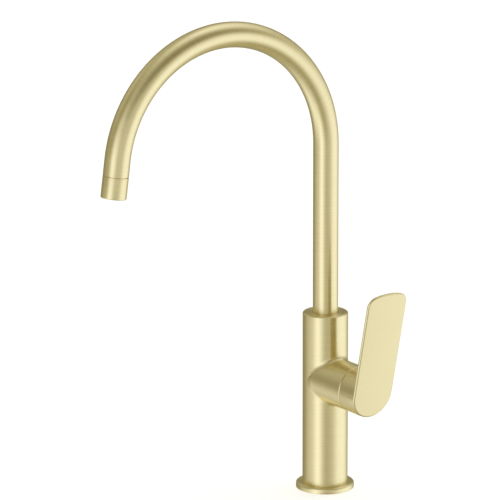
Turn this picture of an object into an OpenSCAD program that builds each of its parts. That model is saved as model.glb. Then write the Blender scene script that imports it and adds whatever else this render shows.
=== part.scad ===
// Single lever mixer tap: an upright column with a swivelling gooseneck spout and a side lever.
// The origin is the column's axis on the underside of its base, where it stands on the deck.
// +Z is up, the spout reaches towards -Y and the lever's boss points along +X.

/* [Column] */
// Diameter of the upright column
column_d = 39.7; // [36:0.1:56]
// Height of the column's top face above the deck
column_h = 159.3; // [156:0.1:260]
// Bevel round the column's top edge
column_bevel = 0.8; // [0.3:0.1:1.5]
// How far the foot ring stands out past the column
base_ring_lip = 5.65; // [4.5:0.05:16]
// Height of the foot ring
base_ring_h = 5; // [4:0.5:12]
// Rounding of the foot ring's upper edge
base_ring_round = 1.6; // [0.4:0.1:2]
// Thickness of the sealing ring under the foot ring
base_seal_t = 1.5; // [1:0.1:2.5]

/* [Boss] */
// Height of the lever boss's axis above the deck
boss_z = 99.9; // [60:0.1:101]
// Diameter of the lever boss, the lever hub and the paddle's lower end
boss_d = 40.8; // [40:0.1:60]
// Distance from the column's axis to the end of the boss
boss_reach = 48; // [47.5:0.5:70]
// Bevel round the end of the boss
boss_bevel = 0.5; // [0.2:0.1:0.8]

/* [Spout] */
// Outer diameter of the spout's pipe
pipe_d = 22; // [18:0.1:27]
// Wall of the spout's pipe
pipe_wall = 1; // [0.8:0.1:1.5]
// Bend radius of the arch, on the pipe's centreline
arch_r = 108; // [60:1:160]
// Height of the arch's centre above the deck
arch_z = 310; // [200:1:420]
// Angle that the arch sweeps
arch_sweep = 172.2; // [120:0.1:200]
// Length of the straight end piece after the arch
tail_len = 13.1; // [12:0.1:60]
// Length of the aerator's sleeve
aerator_len = 19.3; // [16:0.1:28]

/* [Spout joint] */
// Length of the spout's socket in the column
socket_depth = 35.5; // [34:0.5:60]
// Depth of the pipe's end below the column's top face
pipe_seat = 15; // [14:0.5:20]
// Thickness of the sealing rings round the nipple
nipple_seal_t = 1.9; // [1.5:0.1:2.5]
// Height of the two glide rings
glide_ring_h = 4; // [3:0.5:6]
// Diameter of the set screw that holds the spout in the column
lock_screw_d = 5; // [4:0.5:6]

/* [Lever] */
// Gap between the boss and the lever's hub
lever_gap = 0.6; // [0.4:0.1:1.2]
// Distance from the column's axis to the paddle's front face, on the boss's axis
paddle_x = 70.8; // [70:0.1:90]
// Height of the paddle's top above the boss's axis
paddle_rise = 95.7; // [60:0.1:140]
// Thickness of the paddle
paddle_t = 2.8; // [2.2:0.1:5]
// Outward lean of the paddle
paddle_lean = 13.1; // [5:0.1:20]
// Radius of the paddle's top corners
paddle_corner = 9.8; // [4:0.1:14]
// Radius of the paddle's arched top edge
paddle_top_r = 60; // [40:1:120]
// How far the lever lifts outward to open the flow
lever_lift = 25; // [15:1:25]
// Diameter of the set screw in the lever's hub
grub_d = 4; // [3:0.5:4]

/* [Cartridge] */
// Diameter of the ceramic cartridge
cartridge_d = 34.8; // [34:0.1:35]
// Depth of the cartridge's seat, from the column's axis
seat_x = 13.4; // [12:0.1:13.4]
// Distance from the lever's pivot back to the end of the boss
pivot_back = 10; // [9.5:0.1:10.5]
// Diameter of the pivot pin
pivot_pin_d = 3; // [2.5:0.1:3.5]
// Width of the lever's spindle
spindle_w = 7; // [6:0.1:7.5]
// Thickness of the lever's spindle
spindle_t = 6; // [5:0.1:6.2]
// Distance from the lever's pivot to the spindle's foot
foot_arm = 11.5; // [11:0.1:12]

/* [Supply] */
// Diameter of the threaded holes that take the hot and cold hoses
hose_hole_d = 9; // [8:0.1:10]
// Depth of the hose threads
hose_hole_depth = 14; // [8:1:20]
// Distance of each hose hole from the column's middle plane
hose_offset = 8; // [7:0.1:9]
// Diameter of the threaded hole that takes the fixing stud
stud_hole_d = 6.8; // [5:0.1:8.5]
// Depth of the stud's thread
stud_hole_depth = 15; // [8:1:25]

/* [Hidden] */
// fine enough for smooth round parts
$fn = 72;
// radial gap of parts that turn or slide in each other
run_gap = 0.06;
// gap between seated parts of one body
seat_gap = 0.05;
// gap between faces that press together
touch = 0.01;
// overlap that makes cuts run clean past a face
cut = 1;

column_r = column_d / 2;
pipe_r = pipe_d / 2;
bore_r = pipe_r - pipe_wall;
boss_r = boss_d / 2;

// foot of the column: a spigot in the ring, and the column's shoulder let into the ring's top
spigot_step = 2.9;
shoulder_drop = 2;
ring_r = column_r + base_ring_lip;
spigot_r = column_r - spigot_step;
shoulder_z = base_ring_h - shoulder_drop;
seal_w = 4;
seal_inset = 2.2;
seal_mid_r = ring_r - seal_inset - seal_w / 2;

// spout joint, as heights above the deck
socket_r = pipe_r + run_gap;
socket_floor = column_h - socket_depth;
pipe_end_z = column_h - pipe_seat;
nipple_lift = 0.5;
nipple_end_z = socket_floor + nipple_lift;
nipple_tongue = 9;
mouth_gap = 0.3;
mouth_depth = 1.2;
top_ring_drop = 2;
top_ring_z = column_h - top_ring_drop - glide_ring_h;
lock_drop = 3.5;
lock_z = pipe_end_z - lock_drop;
lock_tip_share = 0.76;
lock_tip_r = lock_tip_share * lock_screw_d / 2;
lock_groove_depth = 1.8;
lock_groove_r = pipe_r - lock_groove_depth;
lock_groove_play = 0.2;
lock_tip_gap = 0.3;
lock_step_gap = 0.6;
lock_head_sink = 0.8;
lock_key_depth = 2.5;
groove_land = 1.4;
low_ring_z = lock_z - lock_tip_r - groove_land - glide_ring_h;
seal_land = 1.9;
seal_pitch = nipple_seal_t + seal_land;
top_seal_drop = 2.2;
top_seal_z = low_ring_z - top_seal_drop;
seal_zs = [top_seal_z, top_seal_z - seal_pitch];
seal_play = 0.1;
glide_t = 1.4;
riser_r = 4.5;
key_play = 0.3;
nipple_wall = 3.5;

// end of the arch, and the direction of the tail
tip_y = -arch_r + arch_r * cos(arch_sweep);
tip_z = arch_z + arch_r * sin(arch_sweep);

// cartridge, as distances from the column's axis
cartridge_r = cartridge_d / 2;
chamber_gap = 0.1;
chamber_r = cartridge_r + chamber_gap;
thread_depth = 0.45;
thread_r = chamber_r + thread_depth;
thread_run_out = 2;
pivot_x = boss_reach - pivot_back;
plate_drop = 6;
plate_x = pivot_x - plate_drop;
plate_t = 2.4;
nut_x = plate_x + plate_t + seat_gap;
nut_t = 5.5;
rotor_seal_t = 1.5;
rotor_seal_drop = 1.3;
rotor_seal_x = nut_x + rotor_seal_drop;
rotor_seal_gap = 0.15;
seal_sink = 0.05;
base_t = 4;
disc_t = 3;
fixed_x = seat_x + base_t;
moving_x = fixed_x + disc_t;
moving_t = 2.8;
carrier_x = moving_x + moving_t;
foot_x = pivot_x - foot_arm;
foot_r = 2.4;
foot_play = 0.2;
foot_proud = 0.1;
carrier_t = foot_x + foot_r - foot_proud - carrier_x;
carrier_r = 11.3;
moving_r = 10.5;
moving_recess_r = 5.5;
moving_recess_depth = 1.6;
moving_recess_shift = 0.6;
rotor_t = 2.5;
rotor_gap = 0.1;
rotor_x = plate_x - rotor_t - rotor_gap;
shell_wall = 1.8;
shell_bore_r = cartridge_r - shell_wall;
rotor_play = 0.3;
rotor_r = shell_bore_r - rotor_play;
neck_r = 9.5;
neck_rise = 4;
neck_end_x = pivot_x + neck_rise;
collar_r = 12.3;
collar_h = 4;
slide_start = -foot_arm * sin(lever_lift) / 2;
port_y = 5.5;
port_z = 4.5;
inlet_r = 2.5;
outlet_z = -6;
outlet_r = 3.2;
feed_r = 3;
stud_offset = 9;
port_seal_w = 1.3;
port_seal_t = 0.85;
port_groove = 0.9;
port_groove_gap = 0.1;
disc_port_step = 0.3;

// dome on the end of the boss, and the cup in the lever's hub that turns over it
dome_r = sqrt(pow(pivot_back, 2) + pow(boss_r - boss_bevel, 2));
dome_wall = 1.5;
dome_hole_margin = 11.3;
dome_hole_angle = lever_lift + dome_hole_margin;
dome_rise = 1.8;
skirt_wall = 1.6;
skirt_gap = 0.6;
skirt_rise = 0.5;
cup_gap = 0.45;
cup_r = dome_r + cup_gap;
hub_x = boss_reach + lever_gap;
spindle_cover = 1.8;
spindle_end_x = paddle_x - spindle_cover;
slot_play = 0.2;
grub_wall = 2;
grub_x = pivot_x + cup_r + grub_wall;
grub_reach = 9;
grub_key_depth = 2;
cover_step = 0.4;
cover_depth = 2.9;
cover_sink = 0.3;
paddle_back_x = paddle_x - paddle_t / cos(paddle_lean);
corner_z = paddle_rise - paddle_top_r
    + sqrt(pow(paddle_top_r - paddle_corner, 2) - pow(boss_r - paddle_corner, 2));

// aerator, as distances down from the end of the arch
thread_len = 7;
thread_end = tail_len + thread_len;
end_wall = 1.7;
thread_end_r = bore_r - seat_gap;
gasket_t = 1.5;
gasket_w = 2.4;
gasket_play = 0.3;
insert_top = thread_end + gasket_t + 2 * seat_gap;
sleeve_end = tail_len + aerator_len;
lip_t = 1.6;
mesh_t = 2.2;
mesh_top = sleeve_end - lip_t - mesh_t - seat_gap;
insert_t = mesh_top - insert_top - seat_gap;
insert_gap = 0.35;
insert_r = bore_r - insert_gap;

// tube between two heights
module tube(r_out, r_in, z0, z1) {
    translate([0, 0, z0]) difference() {
        cylinder(r = r_out, h = z1 - z0);
        translate([0, 0, -cut]) cylinder(r = r_in, h = z1 - z0 + 2 * cut);
    }
}

// solid rod between two heights
module rod(r, z0, z1) {
    translate([0, 0, z0]) cylinder(r = r, h = z1 - z0);
}

// children drawn along +Z are laid along the boss's axis, with z as the distance from the column's axis
// and their own +X pointing down
module along_boss() {
    translate([0, 0, boss_z]) rotate([0, 90, 0]) children();
}

// children drawn downward from z = 0 are moved to the end of the arch and turned to its direction
module at_tail() {
    translate([0, tip_y, tip_z]) rotate([arch_sweep - 180, 0, 0]) children();
}

// round sealing ring of thickness t on a mean radius, at height z
module seal_ring(mean_r, t, z) {
    translate([0, 0, z]) rotate_extrude() translate([mean_r, 0]) circle(d = t, $fn = 24);
}

// the three ports of the cartridge, as rods between two distances along the boss
module port_rods(r_in, r_out, x0, x1) {
    along_boss() {
        for (side = [-1, 1]) translate([-port_z, side * port_y, 0]) rod(r_in, x0, x1);
        translate([-outlet_z, 0, 0]) rod(r_out, x0, x1);
    }
}

// ---- column ----

module column_outside() {
    rod(column_r, shoulder_z, column_h - column_bevel);
    translate([0, 0, column_h - column_bevel])
        cylinder(r1 = column_r, r2 = column_r - column_bevel, h = column_bevel);
    rod(spigot_r, 0, shoulder_z + cut);
    along_boss() {
        rod(boss_r, 0, boss_reach - boss_bevel);
        translate([0, 0, boss_reach - boss_bevel])
            cylinder(r1 = boss_r, r2 = boss_r - boss_bevel, h = boss_bevel);
    }
}

module spout_socket() {
    rod(socket_r, socket_floor, column_h + cut);
    rod(pipe_r + mouth_gap, column_h - mouth_depth, column_h + cut);
    rod(socket_r + glide_t + seat_gap, top_ring_z - seat_gap, top_ring_z + glide_ring_h + seat_gap);
    translate([0, 0, lock_z]) rotate([-90, 0, 0]) cylinder(d = lock_screw_d + 2 * seat_gap, h = column_d);
}

module cartridge_chamber() {
    along_boss() {
        rod(chamber_r, seat_x, boss_reach + cut);
        rod(thread_r, nut_x - thread_run_out, boss_reach + cut);
    }
}

module waterways() {
    for (side = [-1, 1]) translate([hose_offset, side * hose_offset, 0]) {
        rod(hose_hole_d / 2, -cut, hose_hole_depth);
        rod(feed_r, -cut, boss_z + port_z);
    }
    along_boss() {
        for (side = [-1, 1]) translate([-port_z, side * port_y, 0]) rod(inlet_r, hose_offset, seat_x + cut);
        translate([-outlet_z, 0, 0]) rod(outlet_r, 0, seat_x + cut);
    }
    rod(riser_r, boss_z + outlet_z, socket_floor + cut);
    translate([-stud_offset, 0, 0]) rod(stud_hole_d / 2, -cut, stud_hole_depth);
}

module column_body() {
    color("#c9ba86") difference() {
        column_outside();
        spout_socket();
        cartridge_chamber();
        waterways();
    }
}

module base_ring() {
    color("#c9ba86") difference() {
        union() {
            rod(ring_r, 0, base_ring_h - base_ring_round);
            rod(ring_r - base_ring_round, 0, base_ring_h);
            translate([0, 0, base_ring_h - base_ring_round]) rotate_extrude()
                translate([ring_r - base_ring_round, 0]) intersection() {
                    circle(r = base_ring_round);
                    square(base_ring_round);
                }
        }
        rod(spigot_r + seat_gap, -cut, base_ring_h + cut);
        rod(column_r + seat_gap, shoulder_z, base_ring_h + cut);
        tube(seal_mid_r + seal_w / 2 + seat_gap, seal_mid_r - seal_w / 2 - seat_gap, -cut, base_seal_t);
    }
}

module base_seal() {
    color("#2b2b2b") tube(seal_mid_r + seal_w / 2, seal_mid_r - seal_w / 2, 0, base_seal_t);
}

module upper_glide_ring() {
    color("#e9e7df") tube(socket_r + glide_t, pipe_r + run_gap / 2, top_ring_z, top_ring_z + glide_ring_h);
}

module spout_lock_screw() {
    tip_y0 = lock_groove_r + lock_tip_gap;
    step_y = pipe_r + lock_step_gap;
    head_y = column_r - lock_head_sink;
    color("#b5a673") translate([0, 0, lock_z]) rotate([-90, 0, 0]) difference() {
        union() {
            rod(lock_tip_r, tip_y0, step_y + cut);
            rod(lock_screw_d / 2, step_y, head_y);
        }
        translate([0, 0, head_y - lock_key_depth])
            cylinder(d = lock_screw_d / 2 + key_play, h = lock_key_depth + cut, $fn = 6);
    }
}

// ---- cartridge ----

module cartridge_base() {
    groove_in = inlet_r + port_seal_w + port_groove_gap;
    groove_out = outlet_r + port_seal_w + port_groove_gap;
    color("#d8d4c6") difference() {
        along_boss() rod(cartridge_r, seat_x, fixed_x - seat_gap);
        port_rods(inlet_r, outlet_r, seat_x - cut, fixed_x + cut);
        port_rods(groove_in, groove_out, seat_x - cut, seat_x + port_groove);
        port_rods(groove_in, groove_out, fixed_x - port_groove, fixed_x + cut);
    }
}

// a flat seal round each of the three ports, between two distances along the boss
module three_seals(x0, x1) {
    difference() {
        port_rods(inlet_r + port_seal_w, outlet_r + port_seal_w, x0, x1);
        port_rods(inlet_r + port_groove_gap, outlet_r + port_groove_gap, x0 - cut, x1 + cut);
    }
}

module port_seals() {
    color("#202020") three_seals(seat_x + touch, seat_x + port_seal_t);
}

module disc_seals() {
    color("#202020") three_seals(fixed_x - port_seal_t, fixed_x - touch);
}

module fixed_disc() {
    color("#f2f0ea") difference() {
        along_boss() rod(shell_bore_r - slot_play, fixed_x, moving_x - touch);
        port_rods(inlet_r - disc_port_step, outlet_r, fixed_x - cut, moving_x + cut);
    }
}

module cartridge_shell() {
    color("#e4e2da") along_boss() {
        tube(cartridge_r, shell_bore_r, fixed_x, plate_x + seat_gap);
        tube(cartridge_r, neck_r + run_gap, plate_x, plate_x + plate_t);
        tube(collar_r, neck_r + run_gap, plate_x + plate_t - seat_gap, plate_x + plate_t + collar_h);
    }
}

module cartridge_nut() {
    collar_gap = 0.3;
    notch_w = 3;
    notch_depth = 2;
    notch_in = 2.6;
    notches = 6;
    color("#c4b26f") along_boss() difference() {
        tube(thread_r - seat_gap, collar_r + collar_gap, nut_x, nut_x + nut_t);
        for (i = [1 : notches]) rotate([0, 0, i * 360 / notches])
            translate([thread_r - notch_in, -notch_w / 2, nut_x + nut_t - notch_depth])
                cube([notch_in + cut, notch_w, notch_depth + cut]);
    }
}

module bonnet_dome() {
    skirt_r = thread_r - seat_gap;
    color("#c9ba86") along_boss() {
        difference() {
            translate([0, 0, pivot_x]) sphere(r = dome_r, $fn = 96);
            difference() {
                translate([0, 0, pivot_x]) sphere(r = dome_r - dome_wall, $fn = 96);
                tube(boss_r, skirt_r - skirt_wall, 0, boss_reach + dome_rise);
            }
            rod(boss_d, 0, boss_reach + touch);
            translate([0, 0, pivot_x])
                cylinder(r1 = 0, r2 = 2 * dome_r * tan(dome_hole_angle), h = 2 * dome_r);
        }
        tube(skirt_r, skirt_r - skirt_wall, nut_x + nut_t + skirt_gap, boss_reach + skirt_rise);
    }
}

// ---- rotor, and the pin that the lever tips on ----

// reach of the tipping spindle from the boss's axis, at a distance from the pivot
function swing(dist) = dist * tan(lever_lift) + spindle_t / 2 / cos(lever_lift) + swing_play;
swing_play = 0.25;

module cartridge_rotor() {
    slot_w = spindle_w + slot_play;
    low = swing(pivot_x - rotor_x);
    mid = swing(pivot_x - nut_x);
    out = swing(neck_end_x - pivot_x);
    seal_groove_r = neck_r - rotor_seal_t - seal_sink;
    color("#d9d6c9") along_boss() difference() {
        union() {
            rod(rotor_r, rotor_x, rotor_x + rotor_t);
            rod(neck_r, rotor_x + rotor_t - cut, neck_end_x);
        }
        translate([-low, -slot_w / 2, rotor_x - cut]) cube([low + out, slot_w, nut_x - rotor_x + cut]);
        translate([-mid, -slot_w / 2, nut_x - cut]) cube([mid + out, slot_w, neck_end_x - nut_x + 2 * cut]);
        translate([0, 0, pivot_x]) rotate([90, 0, 0])
            cylinder(d = pivot_pin_d + 2 * touch, h = 3 * neck_r, center = true);
        tube(neck_r + cut, seal_groove_r, rotor_seal_x - rotor_seal_t / 2 - rotor_seal_gap,
            rotor_seal_x + rotor_seal_t / 2 + rotor_seal_gap);
    }
}

module rotor_seal() {
    color("#202020") along_boss() seal_ring(neck_r - rotor_seal_t / 2 - touch, rotor_seal_t, rotor_seal_x);
}

module pivot_pin() {
    color("#b8bcc0") along_boss() translate([0, 0, pivot_x]) rotate([90, 0, 0])
        cylinder(d = pivot_pin_d, h = 2 * neck_r - 1, center = true);
}

// ---- lever ----

module lever_spindle() {
    stem_t = 3;
    stem_drop = 5;
    stem_x = pivot_x - stem_drop;
    color("#b9a76a") along_boss() difference() {
        union() {
            translate([-spindle_t / 2, -spindle_w / 2, stem_x])
                cube([spindle_t, spindle_w, spindle_end_x - stem_x]);
            translate([-stem_t / 2, -spindle_w / 2, foot_x]) cube([stem_t, spindle_w, stem_x - foot_x + cut]);
            translate([0, 0, foot_x]) rotate([90, 0, 0]) cylinder(r = foot_r, h = spindle_w, center = true);
        }
        translate([0, 0, pivot_x]) rotate([90, 0, 0])
            cylinder(d = pivot_pin_d + run_gap, h = 2 * spindle_w, center = true);
    }
}

// outline of the paddle across the boss's axis, with the height above that axis as y
module paddle_outline() {
    arch_centre = paddle_rise - paddle_top_r;
    spread = atan((boss_r - paddle_corner) / (corner_z - arch_centre));
    far = 2 * paddle_top_r;
    circle(r = boss_r);
    translate([-boss_r, 0]) square([boss_d, corner_z]);
    translate([-boss_r + paddle_corner, corner_z - cut]) square([boss_d - 2 * paddle_corner, cut + 2]);
    for (side = [-1, 1]) translate([side * (boss_r - paddle_corner), corner_z]) circle(r = paddle_corner);
    intersection() {
        translate([0, arch_centre]) circle(r = paddle_top_r, $fn = 180);
        polygon([[0, arch_centre], [-far * sin(spread), arch_centre + far * cos(spread)],
            [far * sin(spread), arch_centre + far * cos(spread)]]);
        translate([-boss_r, 0]) square([boss_d, paddle_rise + cut]);
    }
}

// side view of the lever, with the distance from the column's axis as x
module lever_side() {
    top = paddle_rise + cut;
    low = -boss_r - cut;
    lean = tan(paddle_lean);
    polygon([[paddle_x + low * lean, low], [paddle_x + top * lean, top],
        [paddle_back_x + top * lean, top], [paddle_back_x + low * lean, low]]);
}

module lever_handle() {
    lean = tan(paddle_lean);
    mid_t = (paddle_x - paddle_back_x) / 2;
    color("#cfc08c") difference() {
        translate([0, 0, boss_z]) union() {
            intersection() {
                translate([hub_x, 0, 0]) rotate([90, 0, 90]) linear_extrude(height = 60) paddle_outline();
                rotate([90, 0, 0]) linear_extrude(height = 2 * boss_d, center = true) lever_side();
            }
            intersection() {
                translate([hub_x, 0, 0]) rotate([0, 90, 0]) cylinder(r = boss_r, h = 40);
                rotate([90, 0, 0]) linear_extrude(height = 2 * boss_d, center = true)
                    polygon([[hub_x - cut, -boss_d], [paddle_back_x + mid_t - boss_d * lean, -boss_d],
                        [paddle_back_x + mid_t + boss_d * lean, boss_d], [hub_x - cut, boss_d]]);
            }
        }
        along_boss() {
            translate([0, 0, pivot_x]) sphere(r = cup_r, $fn = 96);
            translate([-spindle_t / 2 - seat_gap, -spindle_w / 2 - seat_gap, hub_x])
                cube([spindle_t + 2 * seat_gap, spindle_w + 2 * seat_gap, spindle_end_x + slot_play - hub_x]);
            translate([0, 0, grub_x]) rotate([0, 90, 0]) {
                cylinder(d = grub_d + 2 * seat_gap, h = boss_d);
                rod(grub_d / 2 + cover_step + seat_gap, boss_r - cover_depth - 2 * seat_gap, boss_r + cut);
            }
        }
    }
}

module lever_grub_screw() {
    color("#8f949a") along_boss() translate([0, 0, grub_x]) rotate([0, 90, 0]) difference() {
        rod(grub_d / 2, spindle_t / 2 + touch, spindle_t / 2 + grub_reach);
        translate([0, 0, spindle_t / 2 + grub_reach - grub_key_depth])
            cylinder(d = grub_d / 2 + key_play, h = grub_key_depth + cut, $fn = 6);
    }
}

module grub_cover() {
    color("#c9ba86") along_boss() translate([0, 0, grub_x]) rotate([0, 90, 0])
        rod(grub_d / 2 + cover_step, boss_r - cover_depth, boss_r - cover_sink);
}

// ---- moving disc and its carrier ----

module disc_carrier() {
    pocket = foot_r + foot_play;
    color("#3c4a5a") along_boss() translate([-slide_start, 0, 0]) difference() {
        rod(carrier_r, carrier_x, carrier_x + carrier_t);
        translate([slide_start - pocket, -spindle_w / 2 - foot_play, foot_x - pocket])
            cube([2 * pocket, spindle_w + 2 * foot_play, carrier_t + cut]);
    }
}

module moving_disc() {
    color("#f2f0ea") along_boss() translate([-slide_start, 0, 0]) difference() {
        rod(moving_r, moving_x, carrier_x - touch);
        translate([moving_recess_shift, 0, 0])
            rod(moving_recess_r, moving_x - cut, moving_x + moving_recess_depth);
    }
}

// ---- spout ----

module spout_tube() {
    color("#c9ba86") {
        tube(pipe_r, bore_r, pipe_end_z, arch_z);
        translate([0, -arch_r, arch_z]) rotate([90, 0, 90]) rotate_extrude(angle = arch_sweep, $fn = 180)
            translate([arch_r, 0]) difference() {
                circle(r = pipe_r);
                circle(r = bore_r);
            }
    }
}

module spout_nipple() {
    color("#b9a76a") difference() {
        union() {
            rod(pipe_r, nipple_end_z, pipe_end_z - touch);
            rod(bore_r - seat_gap, pipe_end_z - cut, pipe_end_z + nipple_tongue);
        }
        rod(pipe_r - nipple_wall, nipple_end_z - cut, pipe_end_z + nipple_tongue + cut);
        tube(pipe_r + cut, lock_groove_r, lock_z - lock_tip_r - lock_groove_play,
            lock_z + lock_tip_r + lock_groove_play);
        tube(pipe_r + cut, pipe_r - glide_t - seat_gap, low_ring_z - seat_gap,
            low_ring_z + glide_ring_h + seat_gap);
        for (z = seal_zs) tube(pipe_r + cut, pipe_r - nipple_seal_t, z - nipple_seal_t / 2 - seal_play,
            z + nipple_seal_t / 2 + seal_play);
    }
}

module nipple_seals() {
    color("#202020") for (z = seal_zs) seal_ring(pipe_r - nipple_seal_t / 2 + run_gap / 2, nipple_seal_t, z);
}

module lower_glide_ring() {
    color("#e9e7df") tube(pipe_r + run_gap / 2, pipe_r - glide_t, low_ring_z, low_ring_z + glide_ring_h);
}

// straight end piece brazed to the arch, with the thread that the aerator's sleeve screws on
module spout_end() {
    color("#c9ba86") at_tail() difference() {
        union() {
            rod(pipe_r, -tail_len, -touch);
            rod(thread_end_r, -thread_end, -tail_len + cut);
        }
        rod(thread_end_r - end_wall, -thread_end - cut, cut);
    }
}

module aerator_sleeve() {
    bevel = 0.4;
    lip_w = 1.3;
    color("#c9ba86") at_tail() difference() {
        union() {
            translate([0, 0, -tail_len - bevel])
                cylinder(r1 = pipe_r, r2 = pipe_r - bevel, h = bevel - 2 * touch);
            rod(pipe_r, -sleeve_end + bevel, -tail_len - bevel);
            translate([0, 0, -sleeve_end]) cylinder(r1 = pipe_r - bevel, r2 = pipe_r, h = bevel);
        }
        rod(bore_r, -sleeve_end + lip_t, cut);
        rod(bore_r - lip_w, -sleeve_end - cut, cut);
    }
}

module aerator_gasket() {
    color("#202020") at_tail() tube(bore_r - gasket_play, bore_r - gasket_w,
        -thread_end - gasket_t - seat_gap, -thread_end - seat_gap);
}

module aerator_insert() {
    wall = 1.6;
    plate = 3;
    jets = 8;
    jet_r = 0.9;
    jet_ring_r = 5;
    color("#dcdcd6") at_tail() difference() {
        rod(insert_r, -insert_top - insert_t, -insert_top);
        rod(insert_r - wall, -insert_top - insert_t - cut, -insert_top - plate);
        for (i = [1 : jets]) rotate([0, 0, i * 360 / jets]) translate([jet_ring_r, 0, 0])
            rod(jet_r, -insert_top - plate - cut, -insert_top + cut);
    }
}

module aerator_grille() {
    pitch = 3.6;
    rows = 2;
    hole_r = 1.2;
    color("#b8b8b0") at_tail() difference() {
        rod(insert_r, -mesh_top - mesh_t, -mesh_top);
        for (i = [-rows : rows], j = [-rows : rows]) if (abs(i + j) <= rows)
            translate([pitch * (i + j / 2), pitch * j * sin(60), 0])
                rod(hole_r, -mesh_top - mesh_t - cut, -mesh_top + cut);
    }
}

column_body();
base_ring();
base_seal();
upper_glide_ring();
spout_lock_screw();
cartridge_base();
port_seals();
disc_seals();
fixed_disc();
cartridge_shell();
cartridge_nut();
bonnet_dome();
spout_tube();
spout_nipple();
nipple_seals();
lower_glide_ring();
spout_end();
aerator_sleeve();
aerator_gasket();
aerator_insert();
aerator_grille();
cartridge_rotor();
rotor_seal();
pivot_pin();
lever_spindle();
lever_handle();
lever_grub_screw();
grub_cover();
disc_carrier();
moving_disc();
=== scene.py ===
"""Single-lever basin mixer in brushed gold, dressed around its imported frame."""
import math

import bmesh
import bpy
import numpy as np
from mathutils import Matrix, Vector


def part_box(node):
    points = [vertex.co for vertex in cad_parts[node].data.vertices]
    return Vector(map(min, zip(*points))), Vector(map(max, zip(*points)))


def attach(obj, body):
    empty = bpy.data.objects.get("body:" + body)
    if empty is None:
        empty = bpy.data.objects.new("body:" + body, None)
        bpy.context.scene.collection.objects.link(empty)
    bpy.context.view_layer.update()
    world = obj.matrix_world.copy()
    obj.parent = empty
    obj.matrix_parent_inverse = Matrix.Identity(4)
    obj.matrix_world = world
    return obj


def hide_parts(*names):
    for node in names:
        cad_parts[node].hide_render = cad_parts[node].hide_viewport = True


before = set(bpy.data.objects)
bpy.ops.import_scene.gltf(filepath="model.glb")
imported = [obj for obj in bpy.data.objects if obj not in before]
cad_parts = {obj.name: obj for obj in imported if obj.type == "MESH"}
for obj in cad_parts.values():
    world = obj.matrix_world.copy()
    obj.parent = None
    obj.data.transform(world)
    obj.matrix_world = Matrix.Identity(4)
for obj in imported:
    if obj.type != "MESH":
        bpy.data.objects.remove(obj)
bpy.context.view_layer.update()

MM = 0.001

# Fineness of the meshes
CIRCLE_STEPS = 192
HOLE_STEPS = 48
CORNER_STEPS = 6
SKIN_STEP = 0.7 * MM
ARCH_STEP = 2.4 * MM
BORE_STEP = 4 * MM
PADDLE_SIDE_STEPS = 40
PADDLE_CORNER_STEPS = 16
PADDLE_TOP_STEPS = 24
PADDLE_FACE_STEPS = 16
CUP_STEPS = 24

# Points nearer than this are joined; a face counts as flat when its normal is this close to an axis
WELD = 1e-7
FLAT_FACE = 0.7

# Edges sharper than this stay edges, in degrees
SHARP_ON_COLUMN = 24
SHARP_ON_TURNED = 35
SHARP_ON_LEVER = 28

# How far a cutting shape runs past the skin, and the room left round a piece let into another
OVERRUN = 1 * MM
PLAY = 0.05 * MM

# Column and boss
COLUMN_R = 19.85 * MM
COLUMN_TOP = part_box("column_body")[1][2]
COLUMN_BEVEL = 0.8 * MM
COLUMN_BREAK = 0.25 * MM
SPIGOT_R = 16.95 * MM
SHOULDER_Z = 3 * MM
BOSS_R = 20.4 * MM
BOSS_Z = 99.9 * MM
BOSS_REACH = 48 * MM
BOSS_BEVEL = 0.5 * MM
BOSS_BREAK = 0.15 * MM
BOSS_EASE = 5 * MM
BOSS_TUCK = 0.1 * MM
ALONG_BOSS = Matrix.Translation((0, 0, BOSS_Z)) @ Matrix.Rotation(math.pi / 2, 4, "Y")

# Filled corner between them, with the steps that pull the skin onto it
UPPER_FILLET = 3.6 * MM
LOWER_FILLET = 1.6 * MM
FILLET_SLACK = 0.02 * MM
FILLET_PROBE = 0.001 * MM
FILLET_ROUNDS = 12
FILLET_LEAST_SLOPE = 0.2

# Hollows of the column
SOCKET_R = 11.06 * MM
SOCKET_FLOOR = COLUMN_TOP - 35.5 * MM
SOCKET_MOUTH_R = 11.3 * MM
SOCKET_MOUTH_DEPTH = 1.2 * MM
RISER_R = 4.5 * MM
RISER_FLOOR = BOSS_Z - 6 * MM
CHAMBER_R = 17.5 * MM
CHAMBER_THREAD_R = 17.95 * MM
CHAMBER_FLOOR = 13.4 * MM
CHAMBER_THREAD_FLOOR = 32.5 * MM
INLET_X, INLET_Y = 8 * MM, 8 * MM
INLET_R = 4.5 * MM
INLET_DEPTH = 14 * MM
STUD_X = -9 * MM
STUD_R = 3.4 * MM
STUD_DEPTH = 15 * MM
LOCK_Z = sum(corner[2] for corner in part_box("spout_lock_screw")) / 2
LOCK_R = 2.55 * MM

# Foot ring
RING_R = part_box("base_ring")[1][0]
RING_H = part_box("base_ring")[1][2]
RING_ROUND = 1.6 * MM
RING_FOOT_BREAK = 0.3 * MM
RING_INNER_BREAK = 0.2 * MM

# Spout
PIPE_R = 11 * MM
PIPE_BORE_R = 10 * MM
PIPE_START = COLUMN_TOP - 15 * MM
ARCH_R = 108 * MM
ARCH_Z = 310 * MM
ARCH_SWEEP = math.radians(172.2)
LEG_LENGTH = ARCH_Z - PIPE_START
ARCH_LENGTH = ARCH_R * ARCH_SWEEP
TAIL_START = LEG_LENGTH + ARCH_LENGTH
TAIL_END = TAIL_START + 13.1 * MM
THREAD_END = TAIL_END + 7 * MM
THREAD_R = 9.95 * MM
END_BORE_R = 8.25 * MM

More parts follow.
